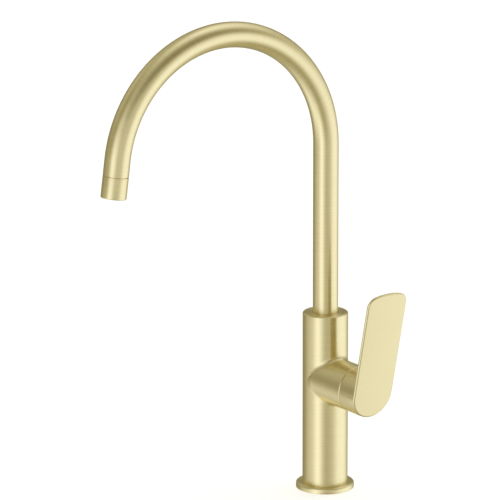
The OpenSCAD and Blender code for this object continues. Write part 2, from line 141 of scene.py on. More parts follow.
# Aerator sleeve, with the dark seam above it
SLEEVE_START = TAIL_END + 0.02 * MM
SLEEVE_END = TAIL_START + 32.4 * MM
SLEEVE_BEVEL = 0.4 * MM
SLEEVE_BREAK = 0.2 * MM
SEAM_DEPTH = 0.9 * MM
SEAM_WIDTH = 0.65 * MM
SEAM_SLOPE = 0.25 * MM
SEAM_BREAK = 0.1 * MM
LIP_R = 8.7 * MM
LIP_T = 1.6 * MM
LIP_BREAK = 0.15 * MM

# Lever
PIVOT_X = 38 * MM
HUB_X = 48.6 * MM
HUB_EDGE = 0.25 * MM
CUP_R = 22.71 * MM
PADDLE_X = 70.8 * MM
PADDLE_RISE = 95.7 * MM
PADDLE_LEAN = math.radians(13.1)
PADDLE_DEPTH = 2.8 * MM / math.cos(PADDLE_LEAN)
PADDLE_CORNER = 9.8 * MM
PADDLE_TOP_R = 60 * MM
PADDLE_CROWN = 0.5 * MM
PADDLE_BEVELS = ((0.6 * MM, 0.6), (0.45 * MM, 1.4))   # width and slope of each, from the face outward
PADDLE_BREAK = 0.12 * MM
PADDLE_BACK_EDGE = 0.5 * MM
BACK_EDGE_SHARE = 0.85

# Metal colours, and the brushing
GOLD = (0.93, 0.812, 0.456, 1)
GOLD_SHADE = (0.84, 0.73, 0.4, 1)
GROOVE_LAYERS = ((1.0, 2.0, 0.45), (0.25, 3.0, 0.55))   # share of the groove scale, detail, weight
GROOVE_ROUGHNESS = 0.6
BRUSHED_PULL = 0.75
BRUSHED_ROUGHNESS = 0.32
BRUSHED_ROUGHNESS_SPREAD = 0.2
BRUSHED_CLOUDS = 0.05
BRUSHED_BUMP = (0.12, 0.1 * MM)
FINE_BUMP = (0.2, 0.03 * MM)
SLOW_SHARE = 0.08
CLOUD_SHARE = 0.1

# Camera, in metres
CAMERA_PLACE = (2.89564, -2.10775, 1.14813)
CAMERA_AHEAD = (-0.79267, 0.55504, -0.2522)
CAMERA_RIGHT = (0.57394, 0.8189, -0.00169)
CAMERA_UP = (-0.20559, 0.14609, 0.96767)
CAMERA_LENS, CAMERA_SENSOR = 306.64, 36
CAMERA_REACH = (0.1, 50)

# Softboxes: azimuth from the front of the studio, half width, sharpness of the sides, middle height above
# the horizon, half height (angles in degrees) and brightness
FRONT = -35.0
SOFTBOXES = {
    "key": (-38, 24, 2, -8, 36, 1.0),
    "front": (4, 30, 4, 1, 13, 0.62),
    "left_fill": (-85, 36, 2, -40, 28, 0.80),
    "left_top": (-122, 42, 2, 30, 23, 0.34),
    "right_fill": (88, 55, 3, -14, 34, 0.86),
    "right_top": (138, 52, 4, 54, 27, 0.60),
}
ROOM_LIGHT = 0.19
TABLE_LIGHT = 0.22
CEILING_LIGHT = 0.52
CEILING_WAY = Vector((-0.05, 0.0, 1.0)).normalized()
CEILING_SHARPNESS = 7.0
WARM_TINT = (1.0, 0.935, 0.61, 1)
COOL_TINT = (1.0, 1.05, 1.17, 1)
WARM_BELOW = 0.2

# Floor
FLOOR_REACH = 6.0
FLOOR_DROP = 0.5 * MM
FLOOR_GLOW = 0.62
FLOOR_ROUGHNESS = 0.9
FLOOR_GRAIN = 60.0


# ---- mesh making ----

def rounded(corners):
    """Outline points from (radius, height, rounding) corners, with each rounding drawn as an arc."""
    points = []
    for i, (r, h, fillet) in enumerate(corners):
        here = Vector((r, h))
        if not fillet:
            points.append(here)
            continue
        back = (Vector(corners[i - 1][:2]) - here).normalized()
        ahead = (Vector(corners[(i + 1) % len(corners)][:2]) - here).normalized()
        half = back.angle(ahead) / 2
        reach = fillet / math.tan(half)
        centre = here + (back + ahead).normalized() * fillet / math.sin(half)
        start, end = here + back * reach - centre, here + ahead * reach - centre
        turn = start.angle_signed(end)
        for step in range(CORNER_STEPS + 1):
            points.append(centre + Matrix.Rotation(-turn * step / CORNER_STEPS, 2) @ start)
    return points


def stretch_steps(points, longest):
    """The same open outline with no segment longer than the given length."""
    points = [Vector(p) for p in points]
    dense = [points[0]]
    for a, b in zip(points, points[1:]):
        count = max(1, math.ceil((b - a).length / longest))
        dense += [a.lerp(b, step / count) for step in range(1, count + 1)]
    return dense


def finished_mesh(name, points, faces):
    """A clean mesh, with doubled points joined and all faces turned outward."""
    mesh = bpy.data.meshes.new(name)
    mesh.from_pydata([tuple(p) for p in points], [], faces)
    shape = bmesh.new()
    shape.from_mesh(mesh)
    bmesh.ops.remove_doubles(shape, verts=shape.verts, dist=WELD)
    bmesh.ops.recalc_face_normals(shape, faces=shape.faces)
    shape.to_mesh(mesh)
    shape.free()
    return mesh


def turned(name, outline, place=None, steps=CIRCLE_STEPS, ring=False):
    """A mesh turned from an outline of (radius, height) points. An outline that isn't a ring's starts and
    ends on the axis. place moves or bends all the points."""
    angles = np.arange(steps) * 2 * math.pi / steps
    rows = [np.stack([r * np.cos(angles), r * np.sin(angles), np.full(steps, h)], 1) for r, h in outline]
    points = np.concatenate(rows)
    count = len(outline)
    faces = []
    for row in range(count if ring else count - 1):
        low, high = row * steps, (row + 1) % count * steps
        for i in range(steps):
            j = (i + 1) % steps
            faces.append((low + i, low + j, high + j, high + i))
    return finished_mesh(name, place(points) if place else points, faces)


def moved_by(matrix):
    turn = np.array(matrix.to_3x3())
    shift = np.array(matrix.translation)
    return lambda p: p @ turn.T + shift


def along_spout(p):
    """Bends points drawn round a straight Z axis along the spout. Their z is the length from the pipe's
    foot."""
    x, side, s = p[:, 0], p[:, 1], p[:, 2]
    sweep = np.clip((s - LEG_LENGTH) / ARCH_R, 0, ARCH_SWEEP)
    past = s - LEG_LENGTH - sweep * ARCH_R
    radius = ARCH_R + side
    y = -ARCH_R + radius * np.cos(sweep) - past * np.sin(sweep)
    z = ARCH_Z + radius * np.sin(sweep) + past * np.cos(sweep)
    return np.stack([x, y, z], 1)


def boolean(mesh, tool, operation):
    """The mesh after the tool is joined to it or taken from it."""
    work = bpy.data.objects.new("work", mesh)
    other = bpy.data.objects.new("tool", tool)
    for ob in (work, other):
        bpy.context.scene.collection.objects.link(ob)
    step = work.modifiers.new("step", "BOOLEAN")
    step.operation, step.solver, step.object = operation, "EXACT", other
    bpy.context.view_layer.update()
    result = bpy.data.meshes.new_from_object(work.evaluated_get(bpy.context.evaluated_depsgraph_get()))
    for ob in (work, other):
        bpy.data.objects.remove(ob)
    bpy.data.meshes.remove(tool)
    return result


def drilled(mesh, place, radius, start, end):
    """The mesh with a round hole from start to end along the Z axis of the place."""
    tool = turned("hole", [(0, start), (radius, start), (radius, end), (0, end)], moved_by(place), HOLE_STEPS)
    return boolean(mesh, tool, "DIFFERENCE")


def block(low, high):
    corners = [(x, y, z) for x in (low[0], high[0]) for y in (low[1], high[1]) for z in (low[2], high[2])]
    sides = [(0, 1, 3, 2), (4, 5, 7, 6), (0, 1, 5, 4), (2, 3, 7, 6), (0, 2, 6, 4), (1, 3, 7, 5)]
    return finished_mesh("block", corners, sides)


def vertex_array(mesh):
    points = np.empty(len(mesh.vertices) * 3)
    mesh.vertices.foreach_get("co", points)
    return points.reshape(-1, 3)


def half_turn_wrap(angle):
    return (angle + math.pi) % (2 * math.pi) - math.pi


def lay_grain(mesh, choose):
    """Stores how each face is brushed. choose(points, normals, centres) gives the distance across the
    grooves, the distance along them and the place in the brushing, for every face corner."""
    corner_vertex = np.empty(len(mesh.loops), np.int32)
    mesh.loops.foreach_get("vertex_index", corner_vertex)
    face_of = np.repeat(np.arange(len(mesh.polygons)), [p.loop_total for p in mesh.polygons])
    normals = np.empty(len(mesh.polygons) * 3)
    mesh.polygons.foreach_get("normal", normals)
    centres = np.empty(len(mesh.polygons) * 3)
    mesh.polygons.foreach_get("center", centres)
    across, along, grain = choose(vertex_array(mesh)[corner_vertex], normals.reshape(-1, 3)[face_of],
                                  centres.reshape(-1, 3)[face_of])
    lay = mesh.uv_layers.new(name="lay", do_init=False)
    lay.uv.foreach_set("vector", np.stack([across, along], 1).astype(np.float32).ravel())
    store = mesh.attributes.new("grain", "FLOAT_VECTOR", "CORNER")
    store.data.foreach_set("vector", grain.astype(np.float32).ravel())


def round_grain(axes):
    """Brushing that runs round the nearest of several axes, each given as (place, radius)."""
    frames = [(np.array(place.inverted()), radius) for place, radius in axes]

    def choose(points, normals, centres):
        sets = []
        for back, radius in frames:
            local = points @ back[:3, :3].T + back[:3, 3]
            normal = normals @ back[:3, :3].T
            centre = centres @ back[:3, :3].T + back[:3, 3]
            out = np.hypot(centre[:, 0], centre[:, 1])
            middle = np.arctan2(centre[:, 1], centre[:, 0])
            angle = half_turn_wrap(np.arctan2(local[:, 1], local[:, 0]) - middle)
            reach = np.hypot(local[:, 0], local[:, 1])
            flat = np.abs(normal[:, 2]) > FLAT_FACE
            facing = normal[:, 0] * np.cos(middle) + normal[:, 1] * np.sin(middle)
            across = local[:, 2] * facing - reach * normal[:, 2]
            along = angle * np.maximum(out, 1e-4)
            grain = np.stack([np.where(flat, reach, local[:, 2]), local[:, 0], local[:, 1]], 1)
            sets.append((np.abs(out - radius), across, along, grain))
        best = np.argmin(np.stack([s[0] for s in sets]), 0)
        every = np.arange(len(points))
        return tuple(np.stack([s[k] for s in sets])[best, every] for k in (1, 2, 3))

    return choose


def spout_grain(points, normals, centres):
    """Brushing that runs round the spout all along its bend."""
    sets = []
    for p in (points, centres):
        y, z = p[:, 1] + ARCH_R, p[:, 2] - ARCH_Z
        sweep = np.clip(np.where(z < 0, np.where(y > 0, 0, ARCH_SWEEP), np.arctan2(z, y)), 0, ARCH_SWEEP)
        side = y * np.cos(sweep) + z * np.sin(sweep) - ARCH_R
        past = -y * np.sin(sweep) + z * np.cos(sweep)
        sets.append((LEG_LENGTH + sweep * ARCH_R + past, np.arctan2(side, p[:, 0]), side))
    (run, angle, side), (_, middle, _) = sets
    return run, half_turn_wrap(angle - middle) * PIPE_R, np.stack([run, points[:, 0], side], 1)


def lever_grain(points, normals, centres):
    """Brushing across the paddle's faces, and round its rim and hub."""
    face = np.abs(normals[:, 0]) > FLAT_FACE
    side = np.where(np.abs(normals[:, 2]) > np.abs(normals[:, 1]), points[:, 1], points[:, 2])
    across = np.where(face, points[:, 2], points[:, 0])
    along = np.where(face, points[:, 1], side)
    return across, along, np.where(face[:, None], points[:, (2, 1, 0)], points)


def piece(name, mesh, body, material, sharp, *stands_for):
    """Puts a finished mesh in the scene, on its body. Edges sharper than the angle stay edges."""
    ob = bpy.data.objects.new(name, mesh)
    bpy.context.scene.collection.objects.link(ob)
    mesh.materials.clear()
    mesh.materials.append(material)
    mesh.shade_smooth()
    mesh.set_sharp_from_angle(angle=math.radians(sharp))
    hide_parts(*stands_for)
    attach(ob, body)


# ---- shading ----

def group_tree(name, inputs, outputs):
    tree = bpy.data.node_groups.new(name, "ShaderNodeTree")
    for label, kind, value in inputs:
        socket = tree.interface.new_socket(label, in_out="INPUT", socket_type=kind)
        if value is not None:
            socket.default_value = value
    for label, kind in outputs:
        tree.interface.new_socket(label, in_out="OUTPUT", socket_type=kind)
    return tree, tree.nodes.new("NodeGroupInput"), tree.nodes.new("NodeGroupOutput")


def feed(tree, socket, value):
    """Links another node's output to the socket, or sets the socket to a plain value."""
    if isinstance(value, (int, float, tuple)):
        socket.default_value = value
    else:
        tree.links.new(value, socket)


def math_node(tree, operation, *values):
    node = tree.nodes.new("ShaderNodeMath")
    node.operation = operation
    for socket, value in zip(node.inputs, values):
        feed(tree, socket, value)
    return node.outputs[0]


def mix_colour(tree, blend, factor, a, b):
    node = tree.nodes.new("ShaderNodeMix")
    node.data_type, node.blend_type = "RGBA", blend
    for socket, value in ((node.inputs[0], factor), (node.inputs[6], a), (node.inputs[7], b)):
        feed(tree, socket, value)
    return node.outputs[2]


def noise(tree, vector, scale, detail, rough=0.5):
    node = tree.nodes.new("ShaderNodeTexNoise")
    for label, value in (("Vector", vector), ("Scale", scale), ("Detail", detail), ("Roughness", rough)):
        feed(tree, node.inputs[label], value)
    return node.outputs["Fac"]


def spread_about(tree, centred, spread, middle):
    """The middle value, moved up and down by the spread."""
    return math_node(tree, "ADD", math_node(tree, "MULTIPLY", centred, spread), middle)


def brushing_group():
    """Fine parallel grooves: noise squeezed across them and drawn out along them."""
    tree, into, out = group_tree(
        "brushing",
        [("Grain", "NodeSocketVector", None), ("Metal", "NodeSocketColor", GOLD),
         ("Tone Spread", "NodeSocketFloat", 0.1), ("Roughness", "NodeSocketFloat", 0.3),
         ("Roughness Spread", "NodeSocketFloat", 0.1), ("Groove Scale", "NodeSocketFloat", 3000.0),
         ("Run Scale", "NodeSocketFloat", 60.0)],
        [("Color", "NodeSocketColor"), ("Roughness", "NodeSocketFloat"), ("Height", "NodeSocketFloat")])
    split = tree.nodes.new("ShaderNodeSeparateXYZ")
    tree.links.new(into.outputs["Grain"], split.inputs[0])
    layers = []
    for share, detail, weight in GROOVE_LAYERS:
        join = tree.nodes.new("ShaderNodeCombineXYZ")
        groove = math_node(tree, "MULTIPLY", into.outputs["Groove Scale"], share)
        run = math_node(tree, "MULTIPLY", into.outputs["Run Scale"], share)
        for i, scale in enumerate((groove, run, run)):
            tree.links.new(math_node(tree, "MULTIPLY", split.outputs[i], scale), join.inputs[i])
        layer = noise(tree, join.outputs[0], 1.0, detail, GROOVE_ROUGHNESS)
        layers.append(math_node(tree, "MULTIPLY", layer, weight))
    height = math_node(tree, "ADD", *layers)
    centred = math_node(tree, "SUBTRACT", height, 0.5)
    shade = tree.nodes.new("ShaderNodeCombineColor")
    tone = spread_about(tree, centred, into.outputs["Tone Spread"], 1.0)
    for socket in shade.inputs[:3]:
        tree.links.new(tone, socket)
    colour = mix_colour(tree, "MULTIPLY", 1.0, into.outputs["Metal"], shade.outputs[0])
    tree.links.new(colour, out.inputs["Color"])
    tree.links.new(spread_about(tree, centred, into.outputs["Roughness Spread"], into.outputs["Roughness"]),
                   out.inputs["Roughness"])
    tree.links.new(height, out.inputs["Height"])
    return tree


def handling_group():
    """Faint clouding of the gloss, left by wiping and touching."""
    tree, into, out = group_tree(
        "handling",
        [("Place", "NodeSocketVector", None), ("Scale", "NodeSocketFloat", 40.0),
         ("Amount", "NodeSocketFloat", 0.1), ("Base", "NodeSocketFloat", 0.3)],
        [("Roughness", "NodeSocketFloat")])
    cloud = noise(tree, into.outputs["Place"], into.outputs["Scale"], 3.0)
    centred = math_node(tree, "SUBTRACT", cloud, 0.5)
    tree.links.new(spread_about(tree, centred, into.outputs["Amount"], into.outputs["Base"]),
                   out.inputs["Roughness"])
    return tree


def grain_group():
    """Fine speckle of moulded, pressed or turned material, with a slow change of tone."""
    tree, into, out = group_tree(
        "fine_grain",
        [("Place", "NodeSocketVector", None), ("Light", "NodeSocketColor", (0.8, 0.8, 0.8, 1)),
         ("Dark", "NodeSocketColor", (0.7, 0.7, 0.7, 1)), ("Scale", "NodeSocketFloat", 900.0)],
        [("Color", "NodeSocketColor"), ("Height", "NodeSocketFloat")])
    fine = noise(tree, into.outputs["Place"], into.outputs["Scale"], 2.0)
    slow_scale = math_node(tree, "MULTIPLY", into.outputs["Scale"], SLOW_SHARE)
    slow = noise(tree, into.outputs["Place"], slow_scale, 2.0)
    both = math_node(tree, "MULTIPLY", math_node(tree, "ADD", fine, slow), 0.5)
    tree.links.new(mix_colour(tree, "MIX", both, into.outputs["Dark"], into.outputs["Light"]),
                   out.inputs["Color"])
    tree.links.new(fine, out.inputs["Height"])
    return tree


BRUSHING = brushing_group()
HANDLING = handling_group()
FINE_GRAIN = grain_group()


def place_group(tree, group, **values):
    """One of the groups above in a material, with its own values. An underscore stands for a space."""
    node = tree.nodes.new("ShaderNodeGroup")
    node.node_tree = group
    for label, value in values.items():
        feed(tree, node.inputs[label.replace("_", " ")], value)
    return node


def new_material(name, **constants):
    """A material with one Principled shader, whose fixed values are set on its own sockets."""
    material = bpy.data.materials.new(name)
    material.use_nodes = True
    shader = material.node_tree.nodes["Principled BSDF"]
    for label, value in constants.items():
        shader.inputs[label.replace("_", " ")].default_value = value
    return material, material.node_tree, shader


def bump(tree, shader, height, strength, depth):
    node = tree.nodes.new("ShaderNodeBump")
    node.inputs["Strength"].default_value = strength
    node.inputs["Distance"].default_value = depth
    tree.links.new(height, node.inputs["Height"])
    tree.links.new(node.outputs[0], shader.inputs["Normal"])


def brushed_gold(name, tone_spread, groove):
    """Brushed metal whose highlights are drawn out across its grooves."""
    material, tree, shader = new_material(name, Metallic=1.0, Anisotropic=BRUSHED_PULL)
    grain = tree.nodes.new("ShaderNodeAttribute")
    grain.attribute_name = "grain"
    lines = place_group(tree, BRUSHING, Grain=grain.outputs["Vector"], Metal=GOLD, Tone_Spread=tone_spread,
                        Roughness=BRUSHED_ROUGHNESS, Roughness_Spread=BRUSHED_ROUGHNESS_SPREAD,
                        Groove_Scale=groove)
    clouds = place_group(tree, HANDLING, Place=grain.outputs["Vector"], Base=0.0, Amount=BRUSHED_CLOUDS)
    tree.links.new(lines.outputs["Color"], shader.inputs["Base Color"])
    tree.links.new(math_node(tree, "ADD", lines.outputs["Roughness"], clouds.outputs["Roughness"]),
                   shader.inputs["Roughness"])
    tangent = tree.nodes.new("ShaderNodeTangent")
    tangent.direction_type, tangent.uv_map = "UV_MAP", "lay"
    tree.links.new(tangent.outputs[0], shader.inputs["Tangent"])
    bump(tree, shader, lines.outputs["Height"], *BRUSHED_BUMP)
    return material


def fine_material(name, light, dark, roughness, scale=900.0, **constants):
    """Plastic, rubber, ceramic or plain metal with a fine surface grain."""
    material, tree, shader = new_material(name, **constants)
    place = tree.nodes.new("ShaderNodeTexCoord").outputs["Object"]
    speckle = place_group(tree, FINE_GRAIN, Place=place, Light=light, Dark=dark, Scale=scale)
    clouds = place_group(tree, HANDLING, Place=place, Base=roughness, Scale=scale * CLOUD_SHARE)
    tree.links.new(speckle.outputs["Color"], shader.inputs["Base Color"])
    tree.links.new(clouds.outputs["Roughness"], shader.inputs["Roughness"])
    bump(tree, shader, speckle.outputs["Height"], *FINE_BUMP)
    return material


def grey(level, warm=0.0):
    return (level * (1 + warm), level, level * (1 - warm), 1)


BRUSHED = brushed_gold("brushed_gold", tone_spread=0.34, groove=2600.0)
BRUSHED_FLAT = brushed_gold("brushed_gold_flat", tone_spread=0.14, groove=3400.0)

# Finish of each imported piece, by the name of its slot
FINISHES = {
    "brushed_gold": fine_material("satin_gold", GOLD, GOLD_SHADE, 0.34, Metallic=1.0),
    # Painted shade: this polished gold is painted far darker than real polished gold, so that the bonnet dome
    # reads dark in the shallow gap between boss and lever
    "polished_gold": fine_material("polished_gold", (0.5, 0.41, 0.2, 1), (0.4, 0.32, 0.15, 1), 0.2,
                                   Metallic=1.0),
    "raw_brass": fine_material("raw_brass", (0.86, 0.68, 0.33, 1), (0.7, 0.53, 0.24, 1), 0.35, Metallic=1.0),
    "seal_rubber": fine_material("seal_rubber", grey(0.03), grey(0.015), 0.6, scale=1500.0),
    "white_plastic": fine_material("white_plastic", grey(0.8, 0.02), grey(0.7, 0.03), 0.42),
    "grey_plastic": fine_material("grey_plastic", grey(0.5), grey(0.42), 0.45),
    "dark_plastic": fine_material("dark_plastic", (0.05, 0.08, 0.12, 1), (0.035, 0.055, 0.085, 1), 0.42),
    "ceramic_white": fine_material("ceramic_white", grey(0.86, 0.01), grey(0.8, 0.02), 0.16, Coat_Weight=0.3),
    "screw_steel": fine_material("screw_steel", grey(0.55), grey(0.42), 0.3, Metallic=1.0),
}


def finish_cad_nodes():
    """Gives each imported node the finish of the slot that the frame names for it."""
    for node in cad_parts.values():
        slot = node.data.materials[0].name.split(".")[0]
        node.data.materials.clear()
        node.data.materials.append(FINISHES[slot])


# ---- column ----

def joint_gap(p):
    """How far points are outside the column and boss, once the corner between them is filled to a round."""
    out_column = np.hypot(p[:, 0], p[:, 1])
    rise = p[:, 2] - BOSS_Z
    out_boss = np.hypot(p[:, 1], rise)
    facing = (p[:, 1] / out_column) * (p[:, 1] / np.maximum(out_boss, 1e-9))
    fillet = np.where(rise > 0, UPPER_FILLET, LOWER_FILLET) * (1 - facing ** 2)
    a, b = out_column - COLUMN_R, out_boss - BOSS_R
    return (np.maximum(fillet, np.minimum(a, b))
            - np.hypot(np.maximum(fillet - a, 0), np.maximum(fillet - b, 0)))


def soften_joint(mesh):
    """Pulls the skin near the corner between column and boss onto the filled corner."""
    points = vertex_array(mesh)
    out_column = np.hypot(points[:, 0], points[:, 1]) - COLUMN_R
    out_boss = np.hypot(points[:, 1], points[:, 2] - BOSS_Z) - BOSS_R
    near = ((points[:, 0] > 0) & (np.minimum(out_column, out_boss) > -FILLET_SLACK)
            & (np.maximum(out_column, out_boss) < UPPER_FILLET))
    steps = np.eye(3) * FILLET_PROBE
    for _ in range(FILLET_ROUNDS):
        p = points[near]
        rises = [joint_gap(p + step) - joint_gap(p - step) for step in steps]
        slope = np.stack([rise / (2 * FILLET_PROBE) for rise in rises], 1)
        length = np.maximum((slope ** 2).sum(1), FILLET_LEAST_SLOPE)
        points[near] = p - slope * (joint_gap(p) / length)[:, None]
    mesh.vertices.foreach_set("co", points.ravel())
    mesh.update()


def column_piece():
    shell = rounded([(0, 0, 0), (SPIGOT_R, 0, 0), (SPIGOT_R, SHOULDER_Z, 0), (COLUMN_R, SHOULDER_Z, 0),
                     (COLUMN_R, COLUMN_TOP - COLUMN_BEVEL, COLUMN_BREAK),
                     (COLUMN_R - COLUMN_BEVEL, COLUMN_TOP, COLUMN_BREAK), (0, COLUMN_TOP, 0)])
    boss = rounded([(0, 0, 0), (COLUMN_R - BOSS_TUCK, 0, 0), (BOSS_R, BOSS_EASE, BOSS_EASE / 2),
                    (BOSS_R, BOSS_REACH - BOSS_BEVEL, BOSS_BREAK),
                    (BOSS_R - BOSS_BEVEL, BOSS_REACH, BOSS_BREAK), (0, BOSS_REACH, 0)])
    along_boss = moved_by(ALONG_BOSS)
    body = turned("column", stretch_steps(shell, SKIN_STEP))
    body = boolean(body, turned("boss", stretch_steps(boss, SKIN_STEP), along_boss), "UNION")
    soften_joint(body)
    chamber = [(0, CHAMBER_FLOOR), (CHAMBER_R, CHAMBER_FLOOR), (CHAMBER_R, CHAMBER_THREAD_FLOOR),
               (CHAMBER_THREAD_R, CHAMBER_THREAD_FLOOR), (CHAMBER_THREAD_R, BOSS_REACH + OVERRUN),
               (0, BOSS_REACH + OVERRUN)]
    mouth_floor = COLUMN_TOP - SOCKET_MOUTH_DEPTH
    socket = [(0, RISER_FLOOR), (RISER_R, RISER_FLOOR), (RISER_R, SOCKET_FLOOR), (SOCKET_R, SOCKET_FLOOR),
              (SOCKET_R, mouth_floor), (SOCKET_MOUTH_R, mouth_floor),
              (SOCKET_MOUTH_R, COLUMN_TOP + OVERRUN), (0, COLUMN_TOP + OVERRUN)]
    body = boolean(body, turned("chamber", chamber, along_boss), "DIFFERENCE")
    body = boolean(body, turned("socket", socket), "DIFFERENCE")
    for y in (INLET_Y, -INLET_Y):
        body = drilled(body, Matrix.Translation((INLET_X, y, 0)), INLET_R, -OVERRUN, INLET_DEPTH)
    body = drilled(body, Matrix.Translation((STUD_X, 0, 0)), STUD_R, -OVERRUN, STUD_DEPTH)
    lock_place = Matrix.Translation((0, 0, LOCK_Z)) @ Matrix.Rotation(-math.pi / 2, 4, "X")
    body = drilled(body, lock_place, LOCK_R, PIPE_R, COLUMN_R + OVERRUN)
    body.name = "column_body_skin"
    lay_grain(body, round_grain([(Matrix(), COLUMN_R), (ALONG_BOSS, BOSS_R)]))
    piece("column_skin", body, "column", BRUSHED, SHARP_ON_COLUMN, "column_body")


def ring_piece():
    inner, column_side = SPIGOT_R + PLAY, COLUMN_R + PLAY
    ring = rounded([(inner, 0, 0), (RING_R, 0, RING_FOOT_BREAK), (RING_R, RING_H, RING_ROUND),
                    (column_side, RING_H, RING_INNER_BREAK), (column_side, SHOULDER_Z, 0),
                    (inner, SHOULDER_Z, 0)])
    mesh = turned("foot_ring", ring, ring=True)
    lay_grain(mesh, round_grain([(Matrix(), RING_R)]))
    piece("foot_ring", mesh, "column", BRUSHED, SHARP_ON_TURNED, "base_ring")


# ---- spout ----

def spout_piece():
    outer = stretch_steps([(PIPE_R, 0), (PIPE_R, TAIL_END)], ARCH_STEP)
    inner = stretch_steps([(PIPE_BORE_R, TAIL_START), (PIPE_BORE_R, 0)], BORE_STEP)
    end = [(THREAD_R, TAIL_END), (THREAD_R, THREAD_END), (END_BORE_R, THREAD_END), (END_BORE_R, TAIL_START)]
    mesh = turned("spout_pipe", outer + end + inner, along_spout, ring=True)
    lay_grain(mesh, spout_grain)
    piece("spout_pipe", mesh, "spout", BRUSHED, SHARP_ON_TURNED, "spout_tube", "spout_end")


def sleeve_piece():
    seam_r, seam_end = PIPE_R - SEAM_DEPTH, TAIL_END + SEAM_WIDTH
    sleeve = rounded([(PIPE_BORE_R, SLEEVE_START, 0), (seam_r, SLEEVE_START, 0), (seam_r, seam_end, 0),
                      (PIPE_R, seam_end + SEAM_SLOPE, SEAM_BREAK),
                      (PIPE_R, SLEEVE_END - SLEEVE_BEVEL, SLEEVE_BREAK),
                      (PIPE_R - SLEEVE_BEVEL, SLEEVE_END, LIP_BREAK), (LIP_R, SLEEVE_END, LIP_BREAK),
                      (LIP_R, SLEEVE_END - LIP_T, 0), (PIPE_BORE_R, SLEEVE_END - LIP_T, 0)])
    mesh = turned("aerator_sleeve", sleeve, along_spout, ring=True)
    lay_grain(mesh, spout_grain)
    piece("sleeve", mesh, "spout", BRUSHED, SHARP_ON_TURNED, "aerator_sleeve")


# ---- lever ----

def paddle_outline():
    """The lever's outline in (y, z) from its axis, its outward directions, and how many points its lower
    half circle has. The half circle comes first."""
    arch_centre = PADDLE_RISE - PADDLE_TOP_R
    inset = BOSS_R - PADDLE_CORNER
    corner_z = arch_centre + math.sqrt((PADDLE_TOP_R - PADDLE_CORNER) ** 2 - inset ** 2)
    spread = math.atan2(inset, corner_z - arch_centre)

    def arc(centre, radius, start, end, steps):
        for i in range(steps + 1):
            angle = start + (end - start) * i / steps
            way = (math.cos(angle), math.sin(angle))
            yield (centre[0] + radius * way[0], centre[1] + radius * way[1]), way

    up = math.pi / 2
    heights = [corner_z * i / PADDLE_SIDE_STEPS for i in range(1, PADDLE_SIDE_STEPS)]
    rim = list(arc((0, 0), BOSS_R, math.pi, 2 * math.pi, CIRCLE_STEPS // 2))
    lower = len(rim)
    rim += [((BOSS_R, z), (1.0, 0.0)) for z in heights]
    rim += arc((inset, corner_z), PADDLE_CORNER, 0, up - spread, PADDLE_CORNER_STEPS)
    rim += list(arc((0, arch_centre), PADDLE_TOP_R, up - spread, up + spread, PADDLE_TOP_STEPS))[1:]
    rim += list(arc((-inset, corner_z), PADDLE_CORNER, up + spread, math.pi, PADDLE_CORNER_STEPS))[1:]
    rim += [((-BOSS_R, z), (-1.0, 0.0)) for z in reversed(heights)]
    return np.array([point for point, _ in rim]), np.array([way for _, way in rim]), lower


def paddle_edge():
    """Steps of the bevels round the paddle's face, as (distance in from the rim, depth behind the face)."""
    inset, depth = sum(width for width, _ in PADDLE_BEVELS), 0.0
    corners = [(inset * 2, 0, 0), (inset, 0, PADDLE_BREAK)]
    for width, slope in PADDLE_BEVELS:
        inset, depth = inset - width, depth + width * slope
        corners.append((inset, depth, PADDLE_BREAK))
    bevel = rounded(corners + [(inset, depth * 2, 0)])
    return [tuple(p) for p in bevel[1:-1]]


class Shell:
    """Rows of points round the boss's axis and the faces between them."""

    def __init__(self):
        self.points, self.faces = [], []

    def row(self, x, yz):
        start = len(self.points)
        self.points.extend(np.stack([x, yz[:, 0], yz[:, 1] + BOSS_Z], 1))
        return list(range(start, start + len(yz)))

    def paddle_row(self, yz, depth, crown=0.0):
        """A row at a depth behind the leaning face, which a crown lowers towards its two sides."""
        lean = yz[:, 1] * math.tan(PADDLE_LEAN)
        return self.row(PADDLE_X + lean - depth - crown * (yz[:, 0] / BOSS_R) ** 2, yz)

    def join(self, a, b, closed=True):
        for i in range(len(a) if closed else len(a) - 1):
            j = (i + 1) % len(a)
            self.faces.append((a[i], a[j], b[j], b[i]))


def cover_face(shell, rim, yz, depth, bottom):
    """Fills the crowned face with strips, each from a point of the rim to its mirrored one."""
    count = len(rim)
    share = np.linspace(0, 1, PADDLE_FACE_STEPS + 1)[1:-1, None]
    strips = [[rim[bottom]] * (PADDLE_FACE_STEPS + 1)]
    for k in range(1, count // 2):
        left, right = (bottom - k) % count, (bottom + k) % count
        between = yz[left] * (1 - share) + yz[right] * share
        strips.append([rim[left]] + shell.paddle_row(between, depth, PADDLE_CROWN) + [rim[right]])
    strips.append([rim[(bottom + count // 2) % count]] * (PADDLE_FACE_STEPS + 1))
    for a, b in zip(strips, strips[1:]):
        for i in range(PADDLE_FACE_STEPS):
            shell.faces.append(tuple(dict.fromkeys((a[i], a[i + 1], b[i + 1], b[i]))))


def quarter_turn():
    return [math.pi / 2 * i / CORNER_STEPS for i in range(CORNER_STEPS + 1)]


def hub_profile():
    """The hub's open end, as (radius, x): a small round at its rim, then the hollow cup down to the axis."""
    rim_r = math.sqrt(CUP_R ** 2 - (HUB_X - PIVOT_X) ** 2)
    start = math.asin(rim_r / CUP_R)
    profile = [(BOSS_R - HUB_EDGE * (1 - math.cos(t)), HUB_X + HUB_EDGE * (1 - math.sin(t)))
               for t in quarter_turn()]
    for i in range(CUP_STEPS + 1):
        angle = start * (1 - i / CUP_STEPS)
        profile.append((CUP_R * math.sin(angle), PIVOT_X + CUP_R * math.cos(angle)))
    return profile


